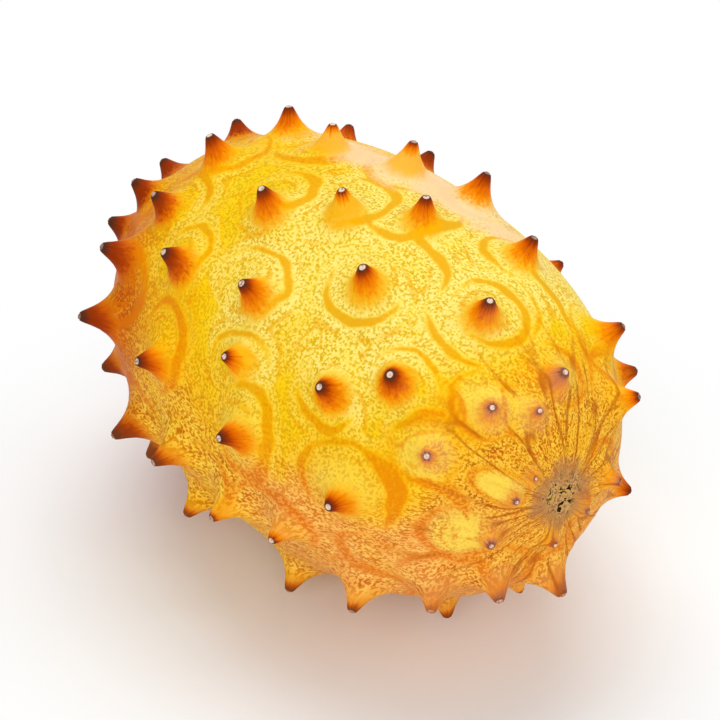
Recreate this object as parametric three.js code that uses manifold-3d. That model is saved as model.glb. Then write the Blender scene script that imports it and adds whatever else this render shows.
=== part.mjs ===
// A horned melon (kiwano), lying on its side as picked.
//
// The fruit is one solid: a stout, slightly bent egg of skin with blunt horns all over it.
// Its long axis is X, and the stem scar is at the +X end. +Z is up, in millimetres, and the
// fruit rests on the tips of four horns, which the table has pressed flat at z = 0.
//
// A place on the skin is given by two numbers:
//   station    distance along the long axis from the middle of the body, in mm
//   longitude  degrees round that axis: 0 is the top, 90 the front (-Y), 180 the underside
import * as THREE from 'three';
import { mergeVertices } from 'three/addons/utils/BufferGeometryUtils.js';
import Module from 'manifold-3d';

// ---- driving dimensions, mm and degrees ------------------------------------------------

// the body without its horns
const HALF_LENGTH = 60;
const HALF_WIDTH = 37;
const END_FULLNESS = 2.25; // above 2, the flanks stay full and the ends turn in late
const WAIST_ROUNDNESS = 2.15;
const TAPER = 0.015; // the scar end is slimmer by this share
const SCAR_END_BEND_Y = -2.6; // how far the scar itself sits off the straight axis
const SCAR_END_BEND_Z = 3.1;
const BODY_SIDES = 32;
const BODY_ROWS = 22;

// where the middle of the body lies: the origin is under the middle of the whole fruit
const BODY_CENTRE = new THREE.Vector3(0.16, -0.32, 41.3);

// a horn: a hollow-flanked cone on a wide foot
const HORN_SIDES = 8;
const FOOT_RADIUS_LEAST = 4.0; // foot radius of a horn of no height
const FOOT_RADIUS_GROWTH = 0.45; // foot radius gained for each mm of height
const HORN_STEPS = [ // share of the foot radius, share of the height
  { radius: 0.92, height: -0.16 },
  { radius: 0.52, height: 0.24 },
  { radius: 0.27, height: 0.53 },
  { radius: 0.12, height: 1.0 },
];

// The horns, each as station, longitude and height. They grow in about ten uneven rows that
// run from end to end, and they shrink towards the scar.
const HORNS = [
  // the top, from the blossom end to the scar
  [-54, 19, 5.2], [-46.5, -10, 4.8], [-30, 19, 6.5], [-28.5, -6, 6.0], [-15.5, -5.5, 5.5],
  [-6.3, 26, 7.0], [-2.1, -16, 6.5], [5.2, 14, 6.5], [9.5, -27, 6.6], [15.5, 0, 6.5],
  [21.5, 27, 7.0], [28.7, -21, 5.8], [38.6, 8, 6.0], [51.4, -5, 4.8],
  // the upper front
  [-51.5, 60, 5.0], [-45, 40.5, 5.1], [-30, 41.5, 5.5], [-33, 61.5, 7.5], [-15.5, 52, 6.5],
  [5.2, 47, 7.0], [8.4, 64, 5.5], [28.2, 57, 6.0], [36.9, 44, 6.0], [47.3, 59, 5.0],
  // the front, at the height of the axis
  [-56.5, 102, 4.5], [-33, 82.5, 8.0], [-11.4, 79, 6.5], [13.5, 82, 6.5], [36.1, 86, 6.0],
  // the lower front
  [-44, 120, 5.6], [-31, 140, 7.0], [-23, 112, 7.5], [-10, 132, 6.5], [-6, 104, 7.0],
  [9, 110, 6.5], [12, 145, 7.0], [24, 106, 6.0], [33.5, 132, 6.3], [47.9, 129, 6.5],
  // the underside
  [-57.8, 160, 5.0], [-44, 152, 6.5], [-34, 172, 6.0], [31, 176, 6.5], [41, -168, 4.0],
  // the lower back
  [-54, -150, 6.0], [-43, -122, 6.5], [-35, -155, 6.5], [-27, -128, 7.0], [-11, -114, 6.5],
  [-8, -140, 6.5], [7, -116, 7.0], [10, -141, 6.5], [24, -130, 6.5], [27, -158, 6.5],
  [36, -138, 5.0], [48, -115, 4.6],
  // the back, and the upper back
  [-57.5, -95, 5.0], [-53, -40, 5.5], [-46, -72, 6.5], [-36, -44, 5.5], [-31, -70, 6.5],
  [-30, -100, 6.5], [-20, -52, 5.5], [-15, -88, 7.0], [-3, -72, 5.5], [1, -92, 6.5],
  [12, -68.5, 4.3], [23, -100, 6.5], [36.9, -81, 5.0], [42.4, -48, 5.5], [52, -56, 5.4],
  // small horns crowded round the scar
  [53.9, 14.5, 4.0], [50.3, 31, 4.5], [58.5, 41, 1.5], [57.7, 65, 3.0], [56.4, 98, 4.0],
  [54.8, 140, 6.3], [59.3, 160, 3.0], [54.6, -174, 6.6], [59.6, -120, 2.5], [58.2, -85, 4.2],
];

// the four that carry the fruit, a little longer than the table lets them be
const RESTING_HORNS = [[-19, 167, 7.3], [-15, -166, 7.1], [9, 171, 6.3], [13, -167, 6.9]];

// ---- the skin --------------------------------------------------------------------------

/** Radius of the body round its bent axis, share running from -1 to 1 at the scar. */
function bodyRadius(share) {
  const full = Math.max(1 - Math.abs(share) ** END_FULLNESS, 0);
  return HALF_WIDTH * full ** (1 / WAIST_ROUNDNESS) * (1 - TAPER * share);
}

/** The point of the skin at a share of the half length and an angle round the axis. */
function skinPoint(share, angle) {
  const radius = bodyRadius(share);
  return new THREE.Vector3(
    HALF_LENGTH * share,
    SCAR_END_BEND_Y * share ** 3 - radius * Math.sin(angle),
    SCAR_END_BEND_Z * share ** 3 + radius * Math.cos(angle),
  ).add(BODY_CENTRE);
}

/** The direction straight out of the skin at that place. */
function skinNormal(share, angle) {
  const step = 1e-4;
  const slope = (bodyRadius(share + step) - bodyRadius(share - step)) / (2 * step * HALF_LENGTH);
  return new THREE.Vector3(-slope, -Math.sin(angle), Math.cos(angle)).normalize();
}

// ---- solids ----------------------------------------------------------------------------

const manifold = await Module();
manifold.setup();

/** A closed geometry as a solid that can be joined and cut. */
function toSolid(geometry) {
  const bare = geometry.clone();
  bare.deleteAttribute('normal');
  bare.deleteAttribute('uv');
  const merged = mergeVertices(bare, 1e-4);
  return new manifold.Manifold(new manifold.Mesh({
    numProp: 3,
    vertProperties: new Float32Array(merged.attributes.position.array),
    triVerts: new Uint32Array(merged.index.array),
  }));
}

/** A solid back as a geometry. */
function toGeometry(solid) {
  const { vertProperties, triVerts } = solid.getMesh();
  const geometry = new THREE.BufferGeometry();
  geometry.setAttribute('position', new THREE.BufferAttribute(vertProperties, 3));
  geometry.setIndex(new THREE.BufferAttribute(triVerts, 1));
  geometry.computeVertexNormals();
  return geometry;
}

/** The body: a ball whose every point is moved out or in to the skin. */
function makeBody() {
  const ball = new THREE.SphereGeometry(1, BODY_SIDES, BODY_ROWS);
  const points = ball.attributes.position;
  const point = new THREE.Vector3();
  for (let i = 0; i < points.count; i += 1) {
    point.fromBufferAttribute(points, i);
    const share = THREE.MathUtils.clamp(point.y, -1, 1);
    const angle = Math.atan2(point.x, point.z);
    point.copy(skinPoint(share, angle));
    points.setXYZ(i, point.x, point.y, point.z);
  }
  return toSolid(ball);
}

/** One horn, standing straight out of the skin, with its foot sunk into the body. */
function makeHorn([station, longitude, height]) {
  const footRadius = FOOT_RADIUS_LEAST + FOOT_RADIUS_GROWTH * height;
  const outline = HORN_STEPS.map((step) => (
    new THREE.Vector2(step.radius * footRadius, step.height * height)
  ));
  const first = outline[0];
  const last = outline[outline.length - 1];
  outline.unshift(new THREE.Vector2(0, first.y));
  outline.push(new THREE.Vector2(0, last.y));

  const share = station / HALF_LENGTH;
  const angle = THREE.MathUtils.degToRad(longitude);
  const horn = new THREE.LatheGeometry(outline, HORN_SIDES);
  const upright = new THREE.Vector3(0, 1, 0);
  horn.applyQuaternion(new THREE.Quaternion().setFromUnitVectors(upright, skinNormal(share, angle)));
  const foot = skinPoint(share, angle);
  horn.translate(foot.x, foot.y, foot.z);
  return toSolid(horn);
}

/** Everything below the table top. */
function makeTable() {
  const side = 4 * HALF_LENGTH;
  const slab = new THREE.BoxGeometry(side, side, side);
  slab.translate(0, 0, -side / 2);
  return toSolid(slab);
}

// ---- the fruit -------------------------------------------------------------------------

let fruit = makeBody();
for (const horn of [...HORNS, ...RESTING_HORNS]) {
  fruit = fruit.add(makeHorn(horn));
}
fruit = fruit.subtract(makeTable());

const skin = new THREE.MeshStandardMaterial({ color: 0xf5b81c, roughness: 0.42, metalness: 0 });
const melon = new THREE.Mesh(toGeometry(fruit), skin);
melon.name = 'horned_melon';

const group = new THREE.Group();
group.add(melon);

export default group;
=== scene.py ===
"""A horned melon lying on a white table, with the finish of its skin, the light and the camera.

The fruit is one piece. Its skin is a smooth bent egg whose points are crowded round the feet of
the horns, and Geometry Nodes raise the horns, the rings round them and the ribs at the stem scar.
Places on the skin are given by a share of the half length (-1 at the blossom end, +1 at the scar)
and an angle round the long axis (0 at the top, a quarter turn at the front, towards -Y).
"""

import logging
import math
from collections.abc import Callable
from dataclasses import dataclass, field
from enum import Enum

import bpy
import numpy as np
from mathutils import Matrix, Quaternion, Vector
from mathutils.geometry import delaunay_2d_cdt


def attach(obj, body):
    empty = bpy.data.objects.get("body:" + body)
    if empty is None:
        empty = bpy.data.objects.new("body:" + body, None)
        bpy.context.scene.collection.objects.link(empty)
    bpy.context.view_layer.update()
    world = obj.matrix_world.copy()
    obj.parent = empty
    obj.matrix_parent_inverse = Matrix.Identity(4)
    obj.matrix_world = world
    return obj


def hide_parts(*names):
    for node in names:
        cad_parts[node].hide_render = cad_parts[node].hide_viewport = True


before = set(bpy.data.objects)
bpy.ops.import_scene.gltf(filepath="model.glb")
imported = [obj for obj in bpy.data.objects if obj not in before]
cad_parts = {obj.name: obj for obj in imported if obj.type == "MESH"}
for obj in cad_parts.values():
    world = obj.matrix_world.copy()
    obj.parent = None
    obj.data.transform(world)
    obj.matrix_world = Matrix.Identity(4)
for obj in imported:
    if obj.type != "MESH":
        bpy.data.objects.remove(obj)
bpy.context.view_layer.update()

MM = 0.001
NODE = "horned_melon"
BODY = "root"

log = logging.getLogger("horned_melon")

Term = bpy.types.NodeSocket | float | tuple
Reader = Callable[..., bpy.types.NodeSocket]
Step = Callable[[Term, Reader], bpy.types.NodeSocket]
Colour = tuple[float, float, float, float]
Zone = tuple[float, float]
Stream = tuple[float, float]
Triple = tuple[float, float, float]


class Kind(Enum):
    """What an attribute holds at each point."""

    NUMBER = "FLOAT"
    VECTOR = "FLOAT_VECTOR"


# ---- the form of the fruit ---------------------------------------------------------------


@dataclass(frozen=True)
class Egg:
    """The body of the fruit without its horns: a stout egg with a slightly bent axis."""

    half_length: float = 60 * MM
    half_width: float = 37 * MM
    end_fullness: float = 2.25
    waist_roundness: float = 2.15
    taper: float = 0.015
    bend: tuple[float, float] = (-2.6 * MM, 3.1 * MM)
    centre: Triple = (0.16 * MM, -0.32 * MM, 41.3 * MM)
    slope_step: float = 1e-4
    first_share: float = 0.99
    foot_rounds: int = 40
    foot_pace: float = 0.5
    end_share: float = 0.9999

    def radius(self, share: np.ndarray) -> np.ndarray:
        """Radius of the body round its bent axis."""
        full = np.maximum(1 - np.abs(share) ** self.end_fullness, 0)
        return self.half_width * full ** (1 / self.waist_roundness) * (1 - self.taper * share)

    def point(self, share: np.ndarray, angle: np.ndarray) -> np.ndarray:
        """Gives points of the skin.

        Args:
            share: how far along the fruit each point lies.
            angle: its turn round the long axis.

        Returns:
            One row for each point, in metres.
        """
        radius = self.radius(share)
        place = np.stack([
            self.half_length * share,
            self.bend[0] * share**3 - radius * np.sin(angle),
            self.bend[1] * share**3 + radius * np.cos(angle),
        ], axis=-1)
        return place + np.array(self.centre)

    def normal(self, share: np.ndarray, angle: np.ndarray) -> np.ndarray:
        """Gives the directions straight out of the skin.

        Args:
            share: how far along the fruit each point lies.
            angle: its turn round the long axis.

        Returns:
            A unit vector for each point.
        """
        step = self.slope_step
        rise = self.radius(share + step) - self.radius(share - step)
        slope = rise / (2 * step * self.half_length)
        out = np.stack([-slope, -np.sin(angle), np.cos(angle)], axis=-1)
        return out / np.linalg.norm(out, axis=-1, keepdims=True)

    def foot(self, points: np.ndarray) -> tuple[np.ndarray, np.ndarray, np.ndarray]:
        """The places on the skin straight below some points.

        Args:
            points: points on or above the skin, one row each.

        Returns:
            Their shares, angles and heights above the skin.
        """
        share = points[:, 0] / self.half_length
        share = np.clip(share, -self.first_share, self.first_share)
        angle = np.zeros(len(points))
        height = np.zeros(len(points))
        for _ in range(self.foot_rounds):
            axis_y = self.centre[1] + self.bend[0] * share**3
            axis_z = self.centre[2] + self.bend[1] * share**3
            angle = np.arctan2(axis_y - points[:, 1], points[:, 2] - axis_z)
            out = self.normal(share, angle)
            gap = points - self.point(share, angle)
            height = (gap * out).sum(-1)
            aside = gap[:, 0] - height * out[:, 0]
            share = share + self.foot_pace * aside / self.half_length
            share = np.clip(share, -self.end_share, self.end_share)
        return share, angle, height


@dataclass(frozen=True)
class EggMap:
    """Distances along the egg, and a flat map of it that keeps angles true."""

    egg: Egg
    steps: int = 40001
    pole_share: float = 0.99999

    def _table(self) -> tuple[np.ndarray, np.ndarray, np.ndarray]:
        """Measures the egg from end to end in small steps.

        Returns:
            The shares, with the distance along the skin and the radius at each.
        """
        share = np.sin(np.linspace(-np.pi / 2, np.pi / 2, self.steps) * self.pole_share)
        radius = self.egg.radius(share)
        pace = np.hypot(np.diff(share) * self.egg.half_length, np.diff(radius))
        return share, np.concatenate([[0], np.cumsum(pace)]), radius

    def way(self, share: np.ndarray) -> np.ndarray:
        """Distance along the skin from the waist, positive towards the scar."""
        shares, way, _ = self._table()
        return np.interp(share, shares, way) - np.interp(0, shares, way)

    def flat_height(self, share: np.ndarray) -> np.ndarray:
        """Gives the height on the map: the sum of steps along the skin over the radius there.

        Args:
            share: how far along the fruit each place lies.

        Returns:
            Its height, nothing at the waist and positive towards the scar.
        """
        shares, way, radius = self._table()
        middle = (radius[1:] + radius[:-1]) / 2
        height = np.concatenate([[0], np.cumsum(np.diff(way) / middle)])
        return np.interp(share, shares, height) - np.interp(0, shares, height)

    def spread(self, spacing: float, crowding: float, crowd_reach: float) -> np.ndarray:
        """Places spread evenly over the skin on a golden spiral, closer at the scar.

        Args:
            spacing: distance between neighbours, in metres.
            crowding: how many times denser the places are at the scar.
            crowd_reach: distance from the scar over which that fades.

        Returns:
            One row for each place: its share and its angle.
        """
        shares, way, radius = self._table()
        to_scar = way[-1] - way
        density = 1 + (crowding - 1) * np.exp(-((to_scar / crowd_reach) ** 2))
        belt = 2 * np.pi * radius * density
        area = np.concatenate([[0], np.cumsum(np.diff(way) * (belt[1:] + belt[:-1]) / 2)])
        count = int(area[-1] / (spacing**2 * math.sqrt(3) / 2))
        turn = math.pi * (3 - math.sqrt(5))
        share = np.interp((np.arange(count) + 0.5) / count * area[-1], area, shares)
        angle = np.mod(np.arange(count) * turn + np.pi, 2 * np.pi) - np.pi
        return np.stack([share, angle], axis=-1)


# ---- the horns ---------------------------------------------------------------------------


@dataclass(frozen=True)
class Arc:
    """One amber line on the skin: an arc of an oval, thickest in its middle.

    Places are in millimetres and degrees. Bearings are seen from the middle of the oval: 0 to the
    scar, 90 down the front. A line that runs further than 180 either way closes on itself. swell
    is how far the skin inside the oval stands up.
    """

    station: float
    longitude: float
    along: float
    across: float
    bearing: float
    sweep: float
    width: float
    swell: float = 0.0


# The lines given one by one, on the top, down the front and round the scar.
ARCS = (
    Arc(11.5, -2, 7.5, 8.8, 20, 95, 1.9),
    Arc(2.0, 10, 7.6, 9.4, -50, 95, 2.0),
    Arc(-19, -5, 8.2, 7.8, 35, 105, 2.2),
    Arc(-10, 21, 6.6, 7.6, -40, 85, 1.9),
    Arc(1.0, 46, 8.4, 6.8, -60, 100, 1.4),
    Arc(21, 28, 7.2, 6.4, 80, 95, 1.8),
    Arc(38, 4, 7.3, 6.8, -62, 140, 1.7),
    Arc(37, 1, 9.2, 8.6, -60, 45, 1.0),
    Arc(38, 4, 11.5, 10.8, 80, 40, 1.5),
    Arc(22, 18, 9.0, 8.2, -85, 60, 2.0),
    Arc(38, 42, 6.6, 5.0, -95, 75, 1.2),
    Arc(28, 60, 6.0, 5.2, 85, 75, 2.1),
    Arc(8, 66, 7.2, 6.0, -125, 80, 1.1),
    Arc(12.5, 83, 6.8, 8.8, 15, 150, 2.4, 0.5),
    Arc(36, 84, 9.8, 8.2, -22, 62, 3.4, 0.5),
    Arc(36, 84, 9.4, 8.2, -100, 65, 0.9),
    Arc(36, 84, 9.6, 8.2, 175, 45, 1.9),
    Arc(-13.5, 77, 7.2, 8.6, -35, 135, 1.9),
    Arc(-18, 52, 6.6, 7.2, -55, 100, 1.2),
    Arc(-31, 38, 9.0, 6.5, -80, 70, 1.7),
    Arc(-32, 70, 8.0, 7.6, 0, 120, 1.8),
    Arc(-31, 14, 7.0, 7.0, 10, 90, 1.4),
    Arc(42, 51, 9.0, 8.5, -55, 40, 1.0),
    Arc(46.8, 60, 6.2, 5.6, 75, 60, 0.8, 0.9),
    Arc(46.8, 60, 6.8, 6.4, -125, 55, 1.2),
    Arc(40, -14, 9.0, 7.0, -110, 60, 2.0),
    Arc(51, -13, 5.5, 5.0, -90, 100, 1.7, 0.4),
    Arc(49.5, 30, 6.2, 5.2, 120, 100, 1.2, 0.7),
    Arc(53.5, 17, 5.0, 4.0, 100, 90, 0.9, 0.5),
    Arc(56.6, 62, 4.9, 2.9, 180, 230, 0.7, 1.0),
    Arc(54.0, 98, 7.4, 5.2, 140, 130, 1.4, 0.9),
    Arc(49, 88, 7.5, 6.5, -60, 60, 2.4),
    Arc(20, 108, 9.0, 6.5, -70, 110, 1.8),
    Arc(42, 112, 9.0, 6.0, 160, 90, 1.8),
    Arc(2, 108, 8.0, 7.0, 10, 110, 1.8),
)


@dataclass
class HornReader:
    """Finds the horns of the fruit on its plain CAD solid."""

    egg: Egg
    least_height: float = 1.0 * MM
    cap_depth: float = 0.5 * MM
    cap_reach: float = 1.7 * MM
    clear_share: float = 0.55
    foot_least: float = 4.0 * MM
    foot_growth: float = 0.45

    def foot_radius(self, height: float) -> float:
        """How far the foot of a horn of that height reaches on the solid."""
        return self.foot_least + self.foot_growth * height

    def read(self, solid: bpy.types.Object) -> np.ndarray:
        """Takes the highest corners of the solid one horn after another.

        Args:
            solid: the CAD node.

        Returns:
            One row for each horn: its share, angle and height above the skin, in metres.
        """
        corners = np.zeros(len(solid.data.vertices) * 3)
        solid.data.vertices.foreach_get("co", corners)
        corners = corners.reshape(-1, 3)
        share, angle, height = self.egg.foot(corners)
        feet = self.egg.point(share, angle)
        free = height > self.least_height
        horns = []
        while free.any():
            top = int(np.argmax(np.where(free, height, -1)))
            aside = np.linalg.norm(feet - feet[top], axis=1)
            cap = free & (aside < self.cap_reach) & (height > height[top] - self.cap_depth)
            tip = corners[cap].mean(0, keepdims=True)
            found = self.egg.foot(tip)
            horns.append([float(value[0]) for value in found])
            aside = np.linalg.norm(feet - self.egg.point(*found[:2])[0], axis=1)
            free &= aside > self.clear_share * self.foot_radius(height[top])
        return np.array(horns)


def loose_points(
    name: str, places: np.ndarray, numbers: dict[str, np.ndarray], vectors: dict[str, np.ndarray]
) -> bpy.types.Object:
    """Makes a mesh of loose points that carry values for the node tree.

    Args:
        name: the object's name.
        places: one row for each point.
        numbers: a number for each point, by attribute name.
        vectors: a vector for each point, by attribute name.

    Returns:
        The points as an object.
    """
    mesh = bpy.data.meshes.new(name)
    mesh.from_pydata(places.tolist(), [], [])
    for label, values in numbers.items():
        made = mesh.attributes.new(label, Kind.NUMBER.value, "POINT")
        made.data.foreach_set("value", values)
    for label, values in vectors.items():
        made = mesh.attributes.new(label, Kind.VECTOR.value, "POINT")
        made.data.foreach_set("vector", values.ravel())
    points = bpy.data.objects.new(name, mesh)
    bpy.context.scene.collection.objects.link(points)
    log.info("%s: %d points", name, len(places))
    return points


@dataclass
class HornField:
    """The horns as points that the skin's nodes read, each with its own sizes."""

    egg: Egg
    horns: np.ndarray
    reach_least: float = 4.6 * MM
    reach_growth: float = 0.85
    seed: int = 3102850

    def build(self) -> bpy.types.Object:
        """Makes one point at the foot of each horn.

        Returns:
            The points, with the horn's height, reach, tone and direction.
        """
        share, angle, height = self.horns.T
        chance = np.random.default_rng(self.seed)
        numbers = {
            "horn_height": height,
            "horn_reach": self.reach_least + self.reach_growth * height,
            "horn_tone": chance.uniform(0, 1, len(self.horns)),
        }
        vectors = {"horn_axis": self.egg.normal(share, angle)}
        return loose_points("horn_feet", self.egg.point(share, angle), numbers, vectors)


@dataclass
class ArcField:
    """The amber lines as points that the skin's nodes read."""

    egg: Egg
    horns: np.ndarray
    clear: float = 9 * MM
    end_share: float = 0.9995
    size_least: float = 5.0
    size_growth: float = 0.4
    size_chance: Zone = (0.85, 1.15)
    shift_chance: Zone = (-1.5, 1.5)
    stretch_chance: Zone = (0.9, 1.2)
    sweep_chance: Zone = (80, 200)
    width_chance: Zone = (1.2, 2.2)
    seed: int = 5

    def _all_arcs(self) -> list[Arc]:
        """Adds a line by chance round each horn that has none among the listed lines.

        Returns:
            All lines.
        """
        arcs = list(ARCS)
        drawn = np.array([self._place(arc) for arc in arcs])
        chance = np.random.default_rng(self.seed)
        for share, angle, height in self.horns:
            foot = self.egg.point(share, angle)
            if np.linalg.norm(drawn - foot, axis=1).min() < self.clear:
                continue
            size = chance.uniform(*self.size_chance)
            size *= self.size_least + self.size_growth * height / MM
            arcs.append(Arc(
                station=share * self.egg.half_length / MM + chance.uniform(*self.shift_chance),
                longitude=math.degrees(angle),
                along=size * chance.uniform(*self.stretch_chance),
                across=size,
                bearing=chance.uniform(-180, 180),
                sweep=chance.uniform(*self.sweep_chance),
                width=chance.uniform(*self.width_chance),
            ))
        return arcs

    def _share(self, arc: Arc) -> float:
        """How far along the fruit the middle of an oval lies."""
        share = arc.station * MM / self.egg.half_length
        return min(max(share, -self.end_share), self.end_share)

    def _place(self, arc: Arc) -> np.ndarray:
        """The middle of an oval on the skin."""
        return self.egg.point(np.array(self._share(arc)), np.radians(arc.longitude))

    def build(self) -> bpy.types.Object:
        """Makes one point in the middle of each oval.

        Returns:
            The points, with the oval's sizes and directions and the line's own.
        """
        arcs = self._all_arcs()
        share = np.array([self._share(arc) for arc in arcs])
        angle = np.radians([arc.longitude for arc in arcs])
        out = self.egg.normal(share, angle)
        across = np.stack([0 * angle, -np.cos(angle), -np.sin(angle)], axis=-1)
        numbers = {
            "arc_along": np.array([arc.along for arc in arcs]),
            "arc_across": np.array([arc.across for arc in arcs]),
            "arc_bearing": np.radians([arc.bearing for arc in arcs]),
            "arc_sweep": np.radians([arc.sweep for arc in arcs]),
            "arc_width": np.array([arc.width for arc in arcs]),
            "arc_swell": np.array([arc.swell for arc in arcs]) * MM,
        }
        vectors = {"arc_axis": out, "arc_to_scar": np.cross(out, across), "arc_round": across}
        return loose_points("amber_arcs", self.egg.point(share, angle), numbers, vectors)


# ---- the bare skin -----------------------------------------------------------------------


@dataclass
class BareSkin:
    """The smooth skin as a closed mesh, with its points in rosettes round the horns."""

    egg: Egg
    spacing: float = 0.72 * MM
    crowding: float = 2.4
    crowd_reach: float = 13 * MM
    rosette_rings: tuple[float, ...] = tuple(
        r * MM for r in (0.16, 0.33, 0.5, 0.68, 0.87, 1.1, 1.4, 1.8, 2.3)
    )
    rosette_spokes: int = 18
    rosette_gap: float = 0.45
    seam_points: int = 330
    seam_gap: float = 0.3
    same_place: float = 1e-9

    def _rosettes(self, horns: np.ndarray) -> np.ndarray:
        """Sets places in rings round every horn.

        Args:
            horns: one row for each horn, as HornReader gives them.

        Returns:
            One row for each place: its share and its angle.
        """
        share, angle = horns[:, 0], horns[:, 1]
        places = [np.stack([share, angle], axis=-1)]
        feet, out = self.egg.point(share, angle), self.egg.normal(share, angle)
        around = np.stack([0 * angle, -np.cos(angle), -np.sin(angle)], axis=-1)
        along = np.cross(around, out)
        for number, radius in enumerate(self.rosette_rings):
            for spoke in range(self.rosette_spokes):
                turn = (spoke + 0.5 * (number % 2)) * 2 * math.pi / self.rosette_spokes
                shift = radius * (math.cos(turn) * along + math.sin(turn) * around)
                found = self.egg.foot(feet + shift)
                places.append(np.stack(found[:2], axis=-1))
        return np.concatenate(places)

    def _places(self, horns: np.ndarray) -> np.ndarray:
        """Sets all places but the seam: the spiral outside the rosettes, and the rosettes.

        Args:
            horns: one row for each horn, as HornReader gives them.

        Returns:
            One row for each place: its share and its angle.
        """
        spiral = EggMap(self.egg).spread(self.spacing, self.crowding, self.crowd_reach)
        points = self.egg.point(spiral[:, 0], spiral[:, 1])
        feet = self.egg.point(horns[:, 0], horns[:, 1])
        clear = self.rosette_rings[-1] + self.rosette_gap * self.spacing
        keep = np.ones(len(points), bool)
        for foot in feet:
            keep &= ((points - foot) ** 2).sum(-1) > clear**2
        places = np.concatenate([spiral[keep], self._rosettes(horns)])
        to_seam = np.abs(EggMap(self.egg).way(places[:, 0]))
        return places[to_seam > self.seam_gap * self.spacing]

    def _half(self, flat: np.ndarray) -> list[tuple[int, int, int]]:
        """Joins the places of one half into triangles.

        Args:
            flat: the places on the half's flat disc, one row each.

        Returns:
            The triangles, as row numbers that turn left.
        """
        corners = [Vector(place) for place in flat.tolist()]
        made = delaunay_2d_cdt(corners, [], [], 0, self.same_place, True)
        names = [origin[0] for origin in made[3]]
        return [tuple(names[corner] for corner in face) for face in made[2]]

    def build(self, horns: np.ndarray) -> bpy.types.Object:
        """Makes the mesh and gives every point its place on the skin.

        Args:
            horns: one row for each horn, as HornReader gives them.

        Returns:
            The bare skin, with attributes skin_place, skin_normal and skin_flow.
        """
        seam_angle = np.linspace(-np.pi, np.pi, self.seam_points, endpoint=False)
        seam = np.stack([0 * seam_angle, seam_angle], axis=-1)
        places = np.concatenate([seam, self._places(horns)])
        share, angle = places.T
        height = EggMap(self.egg).flat_height(share)
        disc = np.exp(-np.abs(height))
        flat = np.stack([disc * np.cos(angle), disc * np.sin(angle)], axis=-1)
        faces: list[tuple[int, int, int]] = []
        on_seam = np.arange(len(places)) < self.seam_points
        for scar_half in (True, False):
            chosen = np.flatnonzero(on_seam | ((share > 0) == scar_half))
            for face in self._half(flat[chosen]):
                corners = [int(chosen[corner]) for corner in face]
                faces.append(tuple(corners if scar_half else reversed(corners)))
        mesh = bpy.data.meshes.new(NODE + "_skin")
        points = self.egg.point(share, angle)
        mesh.from_pydata(points.tolist(), [], faces)
        mesh.validate()
        self._dress(mesh, share, angle)
        skin = bpy.data.objects.new(NODE + "_skin", mesh)
        bpy.context.scene.collection.objects.link(skin)
        log.info("bare skin: %d points, %d triangles", len(points), len(faces))
        return skin

    def _dress(self, mesh: bpy.types.Mesh, share: np.ndarray, angle: np.ndarray) -> None:
        """Stores what the horn nodes and the finish read at each point.

        Args:
            mesh: the bare skin.
            share: how far along the fruit each of its points lies.
            angle: the point's turn round the long axis.
        """
        points = self.egg.point(share, angle)
        way = EggMap(self.egg).way(share)
        scar = EggMap(self.egg).way(np.array([1.0]))[0]
        flow = np.stack([(scar - way) / MM, np.cos(angle), np.sin(angle)], axis=-1)
        stored = {
            "skin_place": (points - np.array(self.egg.centre)) / MM,
            "skin_normal": self.egg.normal(share, angle),
            "skin_flow": flow,
        }
        for name, numbers in stored.items():
            made = mesh.attributes.new(name, Kind.VECTOR.value, "POINT")
            made.data.foreach_set("vector", numbers.ravel())


# ---- node trees --------------------------------------------------------------------------


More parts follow.
